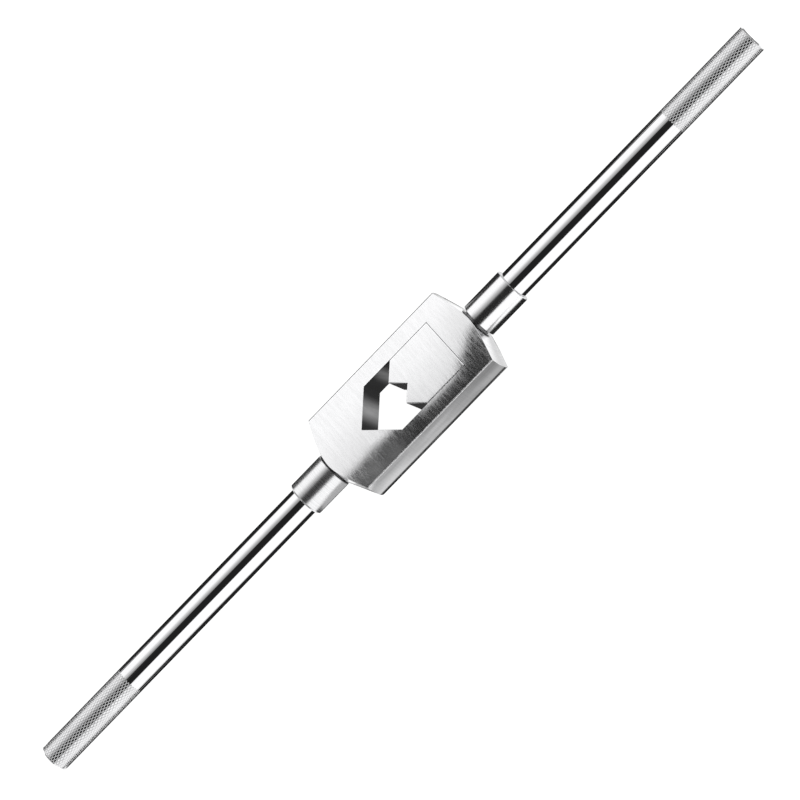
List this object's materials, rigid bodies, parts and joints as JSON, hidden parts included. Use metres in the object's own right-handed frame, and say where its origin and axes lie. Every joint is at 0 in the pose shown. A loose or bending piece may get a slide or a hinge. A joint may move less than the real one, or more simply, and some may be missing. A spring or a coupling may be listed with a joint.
{
  "type": "tap wrench",
  "caption": "Adjustable tap wrench: flat-sided turned body, fixed V and screw-driven sliding V jaw, and two long knurled rod handles in line.",
  "frame": {"origin": "under the middle of the wrench's length, on the plane that the lower flat rests on", "axes": "+X along the handles towards the one that adjusts the jaw, +Z out of the top flat, +Y across the body"},
  "size_m": [0.28, 0.029, 0.0114],
  "materials": {
    "brushed_body": "flats brushed across the length of the wrench",
    "turned_steel": "satin, fine turning lines round the axis",
    "polished_rod": "polished, with diamond-knurled ends",
    "pin_steel": "ground dowel ends"
  },
  "bodies": {
    "frame": {"body_block": "brushed_body", "fixed_ferrule": "turned_steel", "fixed_rod": "polished_rod", "front_groove_pin": "pin_steel", "rear_groove_pin": "pin_steel", "ferrule_pin": "pin_steel"},
    "adjuster": {"spindle": "turned_steel", "adjusting_rod": "polished_rod"},
    "jaw": {"sliding_jaw": "brushed_body"}
  },
  "joints": [
    {"name": "handle_turn", "type": "hinge", "parent": "frame", "child": "adjuster", "pos_m": [0.02665, 0, 0.0057], "axis": [1, 0, 0], "range_deg": [-3600, 0]},
    {"name": "jaw_slide", "type": "slide", "parent": "frame", "child": "jaw", "axis": [1, 0, 0], "range_m": [-0.01, 0]}
  ],
  "couplings": [
    {"joint": "jaw_slide", "follows": "handle_turn", "m_per_rad": 0.00015915}
  ]
}
